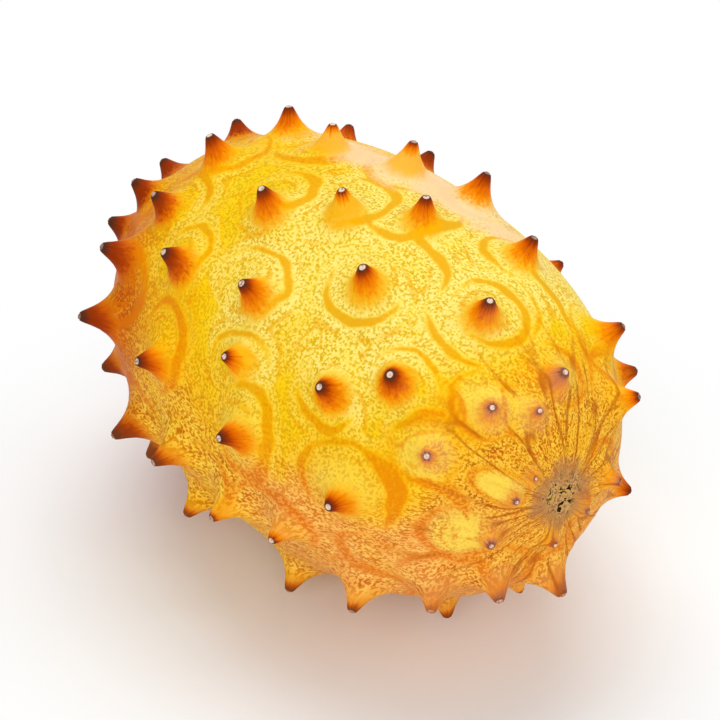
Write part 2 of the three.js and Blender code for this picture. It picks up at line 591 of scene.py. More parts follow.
class Graph:
    """Short calls for the nodes that shapes and finishes are written in."""

    def __init__(self, tree: bpy.types.NodeTree) -> None:
        """Works on a shader tree or a geometry tree."""
        self.tree = tree

    def node(self, kind: str, **settings: object) -> bpy.types.Node:
        """Adds a node.

        Args:
            kind: the node's type.
            settings: its options by name.

        Returns:
            The node.
        """
        made = self.tree.nodes.new(kind)
        for name, value in settings.items():
            setattr(made, name, value)
        return made

    def feed(self, socket: bpy.types.NodeSocket, term: Term) -> None:
        """Links a socket to a term, or sets it where the term is a number or a tuple.

        Args:
            socket: the input.
            term: what it gets.
        """
        if isinstance(term, bpy.types.NodeSocket):
            self.tree.links.new(term, socket)
        else:
            socket.default_value = term

    def math(self, operation: str, *terms: Term, clamp: bool = False) -> bpy.types.NodeSocket:
        """Does one step of arithmetic.

        Args:
            operation: the step.
            terms: what it works on.
            clamp: whether the result is kept between 0 and 1.

        Returns:
            The result.
        """
        made = self.node("ShaderNodeMath", operation=operation, use_clamp=clamp)
        for socket, term in zip(made.inputs, terms):
            self.feed(socket, term)
        return made.outputs[0]

    def product(self, *terms: Term) -> bpy.types.NodeSocket:
        """Multiplies numbers.

        Args:
            terms: two numbers or more.

        Returns:
            Their product.
        """
        total = terms[0]
        for term in terms[1:]:
            total = self.math("MULTIPLY", total, term)
        return total

    def vector(self, operation: str, *terms: Term) -> bpy.types.NodeSocket:
        """Does one step of vector arithmetic.

        Args:
            operation: the step.
            terms: the vectors it works on.

        Returns:
            The result, which is a number for a dot product or a length.
        """
        made = self.node("ShaderNodeVectorMath", operation=operation)
        for socket, term in zip(made.inputs, terms):
            self.feed(socket, term)
        single = operation in {"LENGTH", "DOT_PRODUCT"}
        return made.outputs["Value" if single else "Vector"]

    def scaled(self, vector: Term, factor: Term) -> bpy.types.NodeSocket:
        """Multiplies a vector by a number.

        Args:
            vector: the vector.
            factor: the number.

        Returns:
            The longer or shorter vector.
        """
        made = self.node("ShaderNodeVectorMath", operation="SCALE")
        self.feed(made.inputs[0], vector)
        self.feed(made.inputs["Scale"], factor)
        return made.outputs["Vector"]

    def parts(self, vector: Term) -> tuple[bpy.types.NodeSocket, ...]:
        """Takes a vector apart.

        Args:
            vector: the vector.

        Returns:
            Its three numbers.
        """
        made = self.node("ShaderNodeSeparateXYZ")
        self.feed(made.inputs[0], vector)
        return tuple(made.outputs)

    def joined(self, *terms: Term) -> bpy.types.NodeSocket:
        """Makes a vector.

        Args:
            terms: its three numbers.

        Returns:
            The vector.
        """
        made = self.node("ShaderNodeCombineXYZ")
        for socket, term in zip(made.inputs, terms):
            self.feed(socket, term)
        return made.outputs[0]

    def fade(
        self, value: Term, start: Term, end: Term, low: float = 0, high: float = 1
    ) -> bpy.types.NodeSocket:
        """Changes smoothly from one number to another as a value goes up or down.

        Args:
            value: the value.
            start: where the change starts.
            end: where it ends, which may lie below the start.
            low: the result at the start.
            high: the result at the end.

        Returns:
            A number from low to high.
        """
        made = self.node("ShaderNodeMapRange", interpolation_type="SMOOTHSTEP")
        terms = {"Value": value, "From Min": start, "From Max": end, "To Min": low, "To Max": high}
        for name, term in terms.items():
            self.feed(made.inputs[name], term)
        return made.outputs[0]

    def band(
        self, value: Term, middle: float, half_width: float, edge: float
    ) -> bpy.types.NodeSocket:
        """Picks out a band of values with soft edges.

        Args:
            value: the value.
            middle: the middle of the band.
            half_width: from the middle to where an edge starts.
            edge: how wide each edge is.

        Returns:
            1 in the band and 0 outside.
        """
        away = self.math("ABSOLUTE", self.math("SUBTRACT", value, middle))
        past = self.math("DIVIDE", self.math("SUBTRACT", away, half_width), edge)
        return self.fade(past, 0, 1, 1, 0)

    def noise(
        self, place: Term, size: float, detail: float = 2, rough: float = 0.5, bend: float = 0
    ) -> bpy.types.NodeSocket:
        """Draws a cloudy pattern.

        Args:
            place: where it is read.
            size: about how wide its blots are.
            detail: how many finer layers it has.
            rough: how strong those are.
            bend: how far it is pulled out of shape.

        Returns:
            Numbers round one half.
        """
        made = self.node("ShaderNodeTexNoise")
        self.feed(made.inputs["Vector"], place)
        terms = {"Scale": 1 / size, "Detail": detail, "Roughness": rough, "Distortion": bend}
        for name, term in terms.items():
            self.feed(made.inputs[name], term)
        return made.outputs["Fac"]

    def mix(self, share: Term, under: Term, over: Term) -> bpy.types.NodeSocket:
        """Lays one colour or number over another.

        Args:
            share: how much of the upper one shows, from 0 to 1.
            under: the lower one.
            over: the upper one.

        Returns:
            The mixture.
        """
        made = self.node("ShaderNodeMix", data_type="RGBA")
        self.feed(made.inputs["Factor"], share)
        named = {socket.identifier: socket for socket in made.inputs}
        self.feed(named["A_Color"], under)
        self.feed(named["B_Color"], over)
        return next(s for s in made.outputs if s.identifier == "Result_Color")


@dataclass(frozen=True)
class HornTree:
    """Geometry Nodes that raise the horns and the fine relief out of the bare skin.

    A zone says where a change starts and where it ends.
    """

    tip_radius: float = 0.92 * MM
    mound_sink: float = 0.35 * MM
    line_rise: float = 0.10 * MM
    rib_rise: float = 0.42 * MM
    tip_cup: float = 0.24 * MM
    scar_sink: float = 0.9 * MM
    line_sway: float = 3.4 * MM
    slim_horns: Zone = (2 * MM, 6 * MM)
    # in millimetres, as the stored distances are
    sway_size: float = 7.0
    oval_depth: float = 9.0
    no_line: float = 9.0
    no_horn: float = 99.0
    line_edge: Zone = (0.3, -0.5)
    cupped_horns: Zone = (1.5, 6.0)
    cup_edge: Zone = (0.64, 0.46)
    cup_knob: Triple = (0.3, 0.05, 0.15)
    ribs_rise: Zone = (26, 9)
    ribs_stop: Zone = (2.0, 5.0)
    crust_edge: Zone = (6.5, 1.5)
    crust_size: float = 0.9
    sink_edge: Zone = (5.0, 0.0)
    # in shares of a line's oval
    swell_edge: Zone = (1.05, 0.35)

    def build(self) -> bpy.types.NodeTree:
        """Builds the tree.

        Returns:
            A geometry node tree with the inputs Horns, Arcs, Tip Radius, Mound Sink, Line Rise,
            Rib Rise, Tip Cup and Finish.
        """
        tree = bpy.data.node_groups.new("raise_horns", "GeometryNodeTree")
        face = tree.interface
        face.new_socket("Geometry", in_out="INPUT", socket_type="NodeSocketGeometry")
        for name in ("Horns", "Arcs"):
            face.new_socket(name, in_out="INPUT", socket_type="NodeSocketObject")
        for name in ("Tip Radius", "Mound Sink", "Line Rise", "Rib Rise", "Tip Cup"):
            face.new_socket(name, in_out="INPUT", socket_type="NodeSocketFloat")
        face.new_socket("Finish", in_out="INPUT", socket_type="NodeSocketMaterial")
        face.new_socket("Geometry", in_out="OUTPUT", socket_type="NodeSocketGeometry")
        graph = Graph(tree)
        given = graph.node("NodeGroupInput").outputs
        drawn = self._draw_arcs(graph, given["Geometry"], given["Arcs"])
        raised = self._raise(graph, drawn, given["Horns"], given["Tip Radius"])
        shaped = self._shape(graph, given, raised)
        real = graph.node("GeometryNodeRealizeInstances")
        graph.feed(real.inputs["Geometry"], shaped)
        finish = graph.node("GeometryNodeSetMaterial")
        graph.feed(finish.inputs["Geometry"], real.outputs["Geometry"])
        graph.feed(finish.inputs["Material"], given["Finish"])
        leave = graph.node("NodeGroupOutput")
        graph.feed(leave.inputs["Geometry"], finish.outputs["Geometry"])
        return tree

    @staticmethod
    def _named(graph: Graph, name: str, kind: Kind = Kind.NUMBER) -> bpy.types.NodeSocket:
        """Reads a stored attribute.

        Args:
            graph: the tree.
            name: the attribute.
            kind: what it holds.

        Returns:
            Its value at each point.
        """
        made = graph.node("GeometryNodeInputNamedAttribute", data_type=kind.value)
        made.inputs["Name"].default_value = name
        return made.outputs["Attribute"]

    @staticmethod
    def _store(graph: Graph, geometry: Term, name: str, value: Term) -> bpy.types.NodeSocket:
        """Stores a number at every point.

        Args:
            graph: the tree.
            geometry: the geometry before it.
            name: the attribute.
            value: the number.

        Returns:
            The geometry with the attribute.
        """
        made = graph.node("GeometryNodeStoreNamedAttribute", data_type=Kind.NUMBER.value,
                          domain="POINT")
        graph.feed(made.inputs["Geometry"], geometry)
        made.inputs["Name"].default_value = name
        graph.feed(made.inputs["Value"], value)
        return made.outputs["Geometry"]

    def _for_each(
        self, graph: Graph, points: Term, start: Term, step: Step
    ) -> bpy.types.NodeSocket:
        """Goes through loose points one by one, and lets a step change the skin for each.

        Args:
            graph: the tree.
            points: the object with the points.
            start: the skin before the first step.
            step: takes the skin and a reader of the point's own values, gives the skin.

        Returns:
            The skin after the last step.
        """
        info = graph.node("GeometryNodeObjectInfo", transform_space="ORIGINAL")
        graph.feed(info.inputs["Object"], points)
        source = info.outputs["Geometry"]
        size = graph.node("GeometryNodeAttributeDomainSize", component="MESH")
        graph.feed(size.inputs["Geometry"], source)
        enter = graph.node("GeometryNodeRepeatInput")
        leave = graph.node("GeometryNodeRepeatOutput")
        enter.pair_with_output(leave)
        graph.feed(enter.inputs["Iterations"], size.outputs["Point Count"])
        graph.feed(enter.inputs["Geometry"], start)

        def own(name: str, kind: Kind = Kind.NUMBER) -> bpy.types.NodeSocket:
            """Reads a value of the point whose turn it is.

            Args:
                name: the attribute, or position for the point's place.
                kind: what it holds.

            Returns:
                The value.
            """
            made = graph.node("GeometryNodeSampleIndex", data_type=kind.value, domain="POINT")
            graph.feed(made.inputs["Geometry"], source)
            graph.feed(made.inputs["Index"], enter.outputs["Iteration"])
            if name == "position":
                value = graph.node("GeometryNodeInputPosition").outputs[0]
            else:
                value = self._named(graph, name, kind)
            graph.feed(made.inputs["Value"], value)
            return made.outputs[0]

        graph.feed(leave.inputs["Geometry"], step(enter.outputs["Geometry"], own))
        return leave.outputs["Geometry"]

    def _draw_arcs(self, graph: Graph, skin: Term, arcs: Term) -> bpy.types.NodeSocket:
        """Stores how far each point is from the edge of the nearest amber line, and its swell.

        Args:
            graph: the tree.
            skin: the bare skin.
            arcs: the object with the lines' points.

        Returns:
            The skin with the attributes line_gap and swell.
        """
        place = self._named(graph, "skin_place", Kind.VECTOR)
        sway = graph.node("ShaderNodeTexNoise")
        graph.feed(sway.inputs["Vector"], place)
        graph.feed(sway.inputs["Scale"], 1 / self.sway_size)
        graph.feed(sway.inputs["Detail"], 1.5)
        sway = graph.vector("SUBTRACT", sway.outputs["Color"], (0.5, 0.5, 0.5))
        spot = graph.node("GeometryNodeInputPosition").outputs[0]
        spot = graph.vector("ADD", spot, graph.scaled(sway, self.line_sway))
        skin = self._store(graph, skin, "line_gap", self.no_line)
        skin = self._store(graph, skin, "swell", 0.0)

        def step(skin: Term, own: Reader) -> bpy.types.NodeSocket:
            """Takes in one line.

            Args:
                skin: the skin before it.
                own: reads the line's own values.

            Returns:
                The skin after it.
            """
            offset = graph.vector("SUBTRACT", spot, own("position", Kind.VECTOR))
            offset = graph.scaled(offset, 1 / MM)
            parts = [graph.vector("DOT_PRODUCT", offset, own(name, Kind.VECTOR))
                     for name in ("arc_to_scar", "arc_round", "arc_axis")]
            along, across = own("arc_along"), own("arc_across")
            oval = graph.joined(graph.math("DIVIDE", parts[0], along),
                                graph.math("DIVIDE", parts[1], across),
                                graph.math("DIVIDE", parts[2], self.oval_depth))
            share = graph.vector("LENGTH", oval)
            size = graph.math("SQRT", graph.product(along, across))
            off = graph.product(graph.math("ABSOLUTE", graph.math("SUBTRACT", share, 1.0)), size)
            bearing = graph.math("ARCTAN2", graph.parts(oval)[1], graph.parts(oval)[0])
            turned = graph.math("SUBTRACT", bearing, own("arc_bearing"))
            turned = graph.math("WRAP", turned, math.pi, -math.pi)
            turned = graph.math("DIVIDE", turned, own("arc_sweep"))
            thinned = graph.math("POWER", graph.math("ABSOLUTE", turned), 2.0)
            full = graph.math("SUBTRACT", 1.0, thinned)
            gap = graph.math("SUBTRACT", off, graph.product(own("arc_width"), 0.5, full))
            nearest = graph.math("MINIMUM", gap, self._named(graph, "line_gap"))
            skin = self._store(graph, skin, "line_gap", nearest)
            swell = graph.product(own("arc_swell"), graph.fade(share, *self.swell_edge))
            swell = graph.math("MAXIMUM", swell, self._named(graph, "swell"))
            return self._store(graph, skin, "swell", swell)

        return self._for_each(graph, arcs, skin, step)

    def _raise(self, graph: Graph, skin: Term, horns: Term, tip: Term) -> bpy.types.NodeSocket:
        """Stores how far the horns lift each point, and what the finish reads of the nearest.

        Args:
            graph: the tree.
            skin: the skin with its lines.
            horns: the object with the horns' points.
            tip: the radius of a horn's tip.

        Returns:
            The skin with the attribute rise and those of the nearest horn.
        """
        skin = self._store(graph, skin, "near_distance", self.no_horn)
        skin = self._store(graph, skin, "rise", 0.0)
        place = graph.node("GeometryNodeInputPosition").outputs[0]

        def step(skin: Term, own: Reader) -> bpy.types.NodeSocket:
            """Takes in one horn.

            Args:
                skin: the skin before it.
                own: reads the horn's own values.

            Returns:
                The skin after it.
            """
            offset = graph.vector("SUBTRACT", place, own("position", Kind.VECTOR))
            distance = graph.vector("LENGTH", offset)
            height, reach = own("horn_height"), own("horn_reach")
            slim = graph.product(tip, graph.fade(height, *self.slim_horns, 0.6, 1.0))
            fourth = graph.math("POWER", graph.math("DIVIDE", distance, slim), 4.0)
            fourth = graph.math("ADD", fourth, 1.0)
            blunt = graph.product(slim, graph.math("POWER", fourth, 0.25))
            rise = graph.product(height, graph.math(
                "DIVIDE", self._flank(graph, blunt, reach), self._flank(graph, slim, reach)))
            total = graph.math("ADD", self._named(graph, "rise"), rise)
            axis = own("horn_axis", Kind.VECTOR)
            along = graph.vector("NORMALIZE", graph.vector(
                "SUBTRACT", (1.0, 0.0, 0.0), graph.scaled(axis, graph.parts(axis)[0])))
            around = graph.vector("CROSS_PRODUCT", axis, along)
            bearing = graph.math("ARCTAN2", graph.vector("DOT_PRODUCT", offset, around),
                                 graph.vector("DOT_PRODUCT", offset, along))
            away = graph.math("DIVIDE", distance, MM)
            best = self._named(graph, "near_distance")
            closer = graph.math("LESS_THAN", away, best)
            kept = {
                "near_height": graph.math("DIVIDE", height, MM),
                "near_drop": graph.math("DIVIDE", graph.math("SUBTRACT", height, rise), MM),
                "near_tone": own("horn_tone"),
                "near_cos": graph.math("COSINE", bearing),
                "near_sin": graph.math("SINE", bearing),
            }
            for name, value in kept.items():
                old = self._named(graph, name)
                change = graph.product(closer, graph.math("SUBTRACT", value, old))
                skin = self._store(graph, skin, name, graph.math("ADD", old, change))
            skin = self._store(graph, skin, "rise", total)
            return self._store(graph, skin, "near_distance", graph.math("MINIMUM", away, best))

        return self._for_each(graph, horns, skin, step)

    @staticmethod
    def _flank(graph: Graph, distance: Term, reach: Term) -> bpy.types.NodeSocket:
        """Draws the hollow flank of a horn: steep at the neck and level at the end of its reach.

        Args:
            graph: the tree.
            distance: how far from the horn's middle.
            reach: how far the horn reaches.

        Returns:
            The height there, before it is brought to the horn's own.
        """
        share = graph.math("MINIMUM", graph.math("DIVIDE", distance, reach), 1.0)
        steep = graph.math("MULTIPLY", graph.math("LOGARITHM", share, math.e), -1.0)
        return graph.math("ADD", graph.math("SUBTRACT", steep, 1.0), share)

    def _shape(
        self, graph: Graph, given: bpy.types.NodeOutputs, raised: bpy.types.NodeSocket
    ) -> bpy.types.NodeSocket:
        """Moves every point out along the skin, and keeps all of it above the table.

        Args:
            graph: the tree.
            given: its inputs.
            raised: the skin with what its lines and horns stored.

        Returns:
            The shaped skin.
        """
        place = self._named(graph, "skin_place", Kind.VECTOR)
        flow = self._named(graph, "skin_flow", Kind.VECTOR)
        pattern = SkinPattern(graph, place, flow)
        to_scar = graph.parts(flow)[0]
        crowd = graph.product(graph.fade(to_scar, *self.ribs_rise),
                              graph.fade(to_scar, *self.ribs_stop))
        ribs = graph.product(crowd, graph.math("SUBTRACT", pattern.ribs(), 0.5),
                             given["Rib Rise"], 2.0)
        fold = graph.product(crowd, pattern.creases(), given["Rib Rise"], 0.7)
        crust = graph.noise(place, self.crust_size, 3, 0.7)
        crust = graph.product(graph.fade(to_scar, *self.crust_edge), given["Rib Rise"],
                              graph.math("SUBTRACT", crust, 0.55), 3.0)
        near = self._named(graph, "near_distance")
        cup = graph.math("SUBTRACT", graph.fade(near, *self.cup_edge),
                         graph.band(near, *self.cup_knob))
        height = self._named(graph, "near_height")
        cup = graph.product(cup, given["Tip Cup"],
                            graph.fade(height, *self.cupped_horns, 0.3, 1.0))
        line = graph.fade(self._named(graph, "line_gap"), *self.line_edge)
        lift = graph.math("SUBTRACT", self._named(graph, "rise"), given["Mound Sink"])
        sunk = graph.product(graph.fade(to_scar, *self.sink_edge), self.scar_sink)
        swell = self._named(graph, "swell")
        for term in (graph.product(line, given["Line Rise"]), swell, ribs, crust):
            lift = graph.math("ADD", lift, term)
        for term in (cup, sunk, fold):
            lift = graph.math("SUBTRACT", lift, term)
        out = self._named(graph, "skin_normal", Kind.VECTOR)
        move = graph.node("GeometryNodeSetPosition")
        graph.feed(move.inputs["Geometry"], raised)
        graph.feed(move.inputs["Offset"], graph.scaled(out, lift))
        press = graph.node("GeometryNodeSetPosition")
        graph.feed(press.inputs["Geometry"], move.outputs["Geometry"])
        spot = graph.node("GeometryNodeInputPosition").outputs[0]
        table = graph.vector("MAXIMUM", spot, (-1.0, -1.0, 0.0))
        graph.feed(press.inputs["Position"], table)
        return press.outputs["Geometry"]

    def inputs(
        self, horns: bpy.types.Object, arcs: bpy.types.Object, finish: bpy.types.Material
    ) -> dict[str, object]:
        """Names the values for the tree's inputs.

        Args:
            horns: the object with the horns' points.
            arcs: the object with the lines' points.
            finish: the material of the whole skin.

        Returns:
            A value for each named input but the geometry.
        """
        return {
            "Horns": horns,
            "Arcs": arcs,
            "Tip Radius": self.tip_radius,
            "Mound Sink": self.mound_sink,
            "Line Rise": self.line_rise,
            "Rib Rise": self.rib_rise,
            "Tip Cup": self.tip_cup,
            "Finish": finish,
        }


# ---- the pattern and the finish ----------------------------------------------------------


@dataclass(frozen=True)
class SkinPattern:
    """The fruit's own directions, written once for the relief and for the colour.

    The place counts millimetres from the middle of the fruit. The flow holds the millimetres to
    the scar, and the cosine and the sine of the turn round the long axis. Sizes are in
    millimetres, and a stream is a radius for that turn and a stretch along the fruit.
    """

    graph: Graph
    place: Term
    flow: Term
    side_height: float = 35.0
    rib_stream: Stream = (9.0, 9.0)
    rib_size: float = 1.3
    crease_stretch: float = 7.5
    crease_radius: float = 15.0
    crease_spacing: float = 3.4
    crease_bend: float = 3.4
    crease_bend_size: float = 3.2
    crease_edge: Zone = (0.105, 0.02)
    net_size: float = 0.52
    stream: Stream = (36, 1.4)
    stream_size: float = 0.50
    close_stream: Stream = (17, 1.3)
    close_size: float = 0.38
    close_way: Zone = (30, 18)
    streaked: Zone = (0.25, 0.7)
    clump_stream: Stream = (36, 2.0)
    clump_size: float = 2.2

    def sunny(self) -> bpy.types.NodeSocket:
        """Counts how high up the skin lies, with wandering borders.

        Returns:
            About 1 on top and -1 underneath.
        """
        graph = self.graph
        drift = graph.math("SUBTRACT", graph.noise(self.place, 16, 2, 0.5), 0.5)
        height = graph.math("DIVIDE", graph.parts(self.place)[2], self.side_height)
        return graph.math("ADD", height, graph.math("MULTIPLY", drift, 0.9))

    def streamed(self, radius: float, stretch: float) -> bpy.types.NodeSocket:
        """Gives coordinates that run with the fruit: along to the scar, and round the axis.

        Args:
            radius: how wide a turn round the axis is drawn out.
            stretch: how much longer a pattern gets along the fruit.

        Returns:
            The coordinates, in millimetres.
        """
        graph = self.graph
        to_scar, cosine, sine = graph.parts(self.flow)
        return graph.joined(graph.math("DIVIDE", to_scar, stretch),
                            graph.math("MULTIPLY", cosine, radius),
                            graph.math("MULTIPLY", sine, radius))

    def ribs(self) -> bpy.types.NodeSocket:
        """Fine ribs that run together at the scar."""
        return self.graph.noise(self.streamed(*self.rib_stream), self.rib_size, 2, 0.5)

    def creases(self) -> bpy.types.NodeSocket:
        """Draws thin forking creases that run to the scar.

        Returns:
            1 in a crease and 0 beside it.
        """
        graph = self.graph
        to_scar, cosine, sine = graph.parts(self.flow)
        turn = graph.math("ARCTAN2", sine, cosine)
        flat = graph.joined(graph.math("DIVIDE", to_scar, self.crease_stretch),
                            graph.math("MULTIPLY", turn, self.crease_radius), 0.0)
        bend = graph.node("ShaderNodeTexNoise")
        graph.feed(bend.inputs["Vector"], flat)
        graph.feed(bend.inputs["Scale"], 1 / self.crease_bend_size)
        graph.feed(bend.inputs["Detail"], 2.0)
        flat = graph.vector("ADD", flat, graph.scaled(bend.outputs["Color"], self.crease_bend))
        net = graph.node("ShaderNodeTexVoronoi", feature="DISTANCE_TO_EDGE",
                         voronoi_dimensions="2D")
        graph.feed(net.inputs["Vector"], flat)
        graph.feed(net.inputs["Scale"], 1 / self.crease_spacing)
        edge = graph.fade(net.outputs["Distance"], *self.crease_edge)
        return graph.product(edge, graph.fade(graph.noise(flat, 2.2, 1, 0.5), 0.34, 0.54))

    def streaks(self, worn: Term) -> bpy.types.NodeSocket:
        """Draws the net of the mottled rind, which runs along the fruit where it is worn.

        Args:
            worn: how worn the rind is.

        Returns:
            Low in a cell and high in the net between.
        """
        graph = self.graph
        to_scar = graph.parts(self.flow)[0]
        net = graph.noise(self.place, self.net_size, 1.2, 0.5, 0.0)
        stream = graph.noise(self.streamed(*self.stream), self.stream_size, 1.0, 0.5, 0.4)
        close = graph.noise(self.streamed(*self.close_stream), self.close_size, 1.2, 0.5, 0.4)
        drawn = graph.mix(graph.fade(to_scar, *self.close_way), stream, close)
        return graph.mix(graph.fade(worn, *self.streaked), net, drawn)

    def clumps(self) -> bpy.types.NodeSocket:
        """Drawn out patches, low where the pale cells gather and high where the dark net does."""
        return self.graph.noise(self.streamed(*self.clump_stream), self.clump_size, 2, 0.5)


def linear(red: int, green: int, blue: int) -> Colour:
    """Gives a colour as the renderer counts it.

    Args:
        red: the red part, on the usual scale to 255.
        green: the green part.
        blue: the blue part.

    Returns:
        The three parts and full cover.
    """
    def channel(value: int) -> float:
        """One part of the colour."""
        share = value / 255
        return share / 12.92 if share <= 0.04045 else ((share + 0.055) / 1.055) ** 2.4
    return channel(red), channel(green), channel(blue), 1.0


@dataclass(frozen=True)
class WaxySkin:
    """The finish of the whole fruit: waxy mottled rind, amber lines, dark horn necks, dry scar,
    with a painted sheen on top and painted shade in places.

    A zone says where a change starts and where it ends. One named way counts millimetres to the
    scar, one named side counts how high up the skin lies, from about 1 on top to -1 underneath,
    one named reach counts millimetres from a horn's middle, and one named drop counts millimetres
    below its tip, more or fewer with the horn's tone.
    """

    # the rind, from pale to red-brown, the red-brown sides partly painted shadow
    cream: Colour = linear(254, 235, 138)
    pale: Colour = linear(252, 224, 84)
    lemon: Colour = linear(254, 222, 84)
    straw_pale: Colour = linear(254, 208, 104)
    sun: Colour = linear(255, 212, 8)
    yellow: Colour = linear(252, 206, 22)
    golden: Colour = linear(250, 180, 0)
    honey: Colour = linear(244, 176, 30)
    orange: Colour = linear(242, 156, 70)
    olive: Colour = linear(220, 176, 20)
    umber: Colour = linear(182, 88, 10)
    # red-brown colours of the sides and of the blossom-end horns, partly painted shadow
    russet_in_shadow: Colour = linear(206, 92, 8)
    brick_in_shadow: Colour = linear(168, 58, 6)
    low_way: Zone = (74, 56)
    low_side: Zone = (0.35, -0.1)
    worn_way: Zone = (36, 15)
    worn_side: Zone = (0.45, -0.18)
    reddened_and_shaded_way: Zone = (91, 109)
    reddened_and_shaded_side: Zone = (0.95, 0.30)
    thinned: float = 0.55
    # the lines, and a painted sheen on top, a broad pale highlight, with its place from the middle
    # of the fruit
    amber: Colour = linear(236, 171, 0)
    tawny: Colour = linear(236, 138, 4)
    rust: Colour = linear(222, 116, 20)
    painted_sheen: Colour = linear(253, 215, 166)
    sheen_place: Triple = (2.0, 12.5, 35.0)
    sheen_reach: Triple = (26.0, 7.2, 9.0)
    sheen_slant: Triple = (0.0, 0.25, 0.0)
    sheen_edge: Zone = (1.45, 0.62)
    # the horns, which are dark red with painted shadow at the blossom end, dry at the scar, and
    # painted in darker shaded copies underneath
    flame: Colour = linear(242, 140, 2)
    ember: Colour = linear(218, 98, 0)
    maroon: Colour = linear(146, 50, 4)
    neck: Colour = linear(88, 46, 28)
    clay_in_shade: Colour = linear(222, 140, 44)
    bronze_in_shade: Colour = linear(132, 72, 34)
    mauve: Colour = linear(216, 130, 78)
    plum: Colour = linear(202, 124, 78)
    husk: Colour = linear(136, 82, 64)
    pale_tip_and_highlight: Colour = linear(238, 212, 194)
    pale_tip_in_shade: Colour = linear(160, 124, 96)
    dark_red_and_shaded_way: Zone = (84, 106)
    dark_red_and_shaded_side: Zone = (0.95, 0.45)
    dry_way: Zone = (40, 31)
    back_depth: Zone = (5, 14)
    underside_shade_side: Zone = (-0.15, -0.6)
    foot_reach: Zone = (4.6, 2.2)
    flame_reach: Zone = (4.2, 1.8)
    tip_reach: Zone = (0.58, 0.44)
    chip_reach: Zone = (0.55, 0.35)
    flame_drop: Zone = (5.6, 3.2)
    ember_drop: Zone = (3.6, 1.8)
    maroon_drop: Zone = (2.3, 0.9)
    neck_drop: Zone = (1.0, 0.35)
    # the scar and the creases
    dusk: Colour = linear(164, 112, 82)
    straw: Colour = linear(212, 172, 96)
    bark: Colour = linear(40, 30, 22)
    crease_way: Zone = (48, 17)
    crease_stop_way: Zone = (1.5, 4.0)
    crease_tint_way: Zone = (24, 36)
    dust_way: Zone = (8.5, 3.0)
    crust_way: Zone = (4.6, 2.2)
    rough_way: Zone = (8.0, 2.0)
    # the wax
    roughness: float = 0.42
    scar_roughness: float = 0.8
    shine: float = 0.03
    refraction: float = 1.40
    subsurface: float = 0.08
    glow_tint: Triple = (1.0, 0.45, 0.12)
    glow_depth: float = 2.0 * MM
    pore_strength: float = 0.25
    pore_depth: float = 0.10 * MM
    pore_size: float = 0.9

    def build(self) -> bpy.types.Material:
        """Builds the material from the stored places and the horns' attributes.

        Returns:
            The material.
        """
        made = bpy.data.materials.new("waxy_horned_skin")
        made.use_nodes = True
        tree = made.node_tree
        tree.nodes.clear()
        graph = Graph(tree)

        def read(name: str, output: str = "Fac") -> bpy.types.NodeSocket:
            """An attribute of the skin."""
            return graph.node("ShaderNodeAttribute", attribute_name=name).outputs[output]

        pattern = SkinPattern(graph, read("skin_place", "Vector"), read("skin_flow", "Vector"))
        golden_share = self._golden_spread(graph, pattern)
        worn = self._wear(graph, pattern)
        colour = self._ground(graph, pattern, golden_share, worn, read)
        colour = self._lines(graph, pattern, golden_share, worn, read, colour)
        # a painted sheen: a broad pale highlight along the top
        colour = self._paint_sheen(graph, pattern, worn, colour)
        colour = self._horn(graph, pattern, worn, read, colour)
        colour, rough = self._scar(graph, pattern, read, colour)
        shader = graph.node("ShaderNodeBsdfPrincipled")
        graph.feed(shader.inputs["Base Color"], colour)
        graph.feed(shader.inputs["Roughness"], rough)
        shader.inputs["IOR"].default_value = self.refraction
        shader.inputs["Specular IOR Level"].default_value = self.shine
        shader.inputs["Subsurface Weight"].default_value = self.subsurface
        shader.inputs["Subsurface Radius"].default_value = self.glow_tint
        shader.inputs["Subsurface Scale"].default_value = self.glow_depth
        bump = graph.node("ShaderNodeBump")
        bump.inputs["Strength"].default_value = self.pore_strength
        bump.inputs["Distance"].default_value = self.pore_depth
        graph.feed(bump.inputs["Height"], graph.noise(pattern.place, self.pore_size, 3, 0.6))
        graph.feed(shader.inputs["Normal"], bump.outputs["Normal"])
        leave = graph.node("ShaderNodeOutputMaterial")
        graph.feed(leave.inputs["Surface"], shader.outputs["BSDF"])
        return made

    def _golden_spread(self, graph: Graph, pattern: SkinPattern) -> bpy.types.NodeSocket:
        """Makes the rind golden low down, at the scar and at the blossom end, and pale on top.

        Args:
            graph: the tree.
            pattern: the fruit's own directions.

        Returns:
            0 where the rind is pale and 1 where it is golden.
        """
        to_scar, sunny = graph.parts(pattern.flow)[0], pattern.sunny()
        drift = graph.math("SUBTRACT", graph.noise(pattern.place, 22, 2, 0.5), 0.5)
        terms = (
            graph.fade(sunny, 0.75, 0.18, 0.0, 0.55),
            graph.fade(sunny, 0.25, -0.45, 0.0, 0.45),
            graph.fade(to_scar, 46, 15, 0.0, 0.95),
            graph.fade(to_scar, 70, 92, 0.0, 0.42),
            graph.fade(to_scar, 98, 126, 0.0, 0.5),
        )
        total = graph.math("MULTIPLY", drift, 0.6)
        for term in terms:
            total = graph.math("ADD", total, term)
        return graph.math("MINIMUM", graph.math("MAXIMUM", total, 0.0), 1.3)

    def _wear(self, graph: Graph, pattern: SkinPattern) -> bpy.types.NodeSocket:
        """Wears the rind low down and at the scar.

        Args:
            graph: the tree.
            pattern: the fruit's own directions.

        Returns:
            0 where the rind is smooth and 1 where it is streaked with brown.
        """
        to_scar = graph.parts(pattern.flow)[0]
        drift = graph.math("SUBTRACT", graph.noise(pattern.place, 15, 2, 0.5), 0.5)
        total = graph.math("ADD", graph.fade(pattern.sunny(), *self.worn_side, 0.0, 0.9),
                           graph.fade(to_scar, *self.worn_way))
        return graph.math("ADD", total, graph.math("MULTIPLY", drift, 0.6), clamp=True)

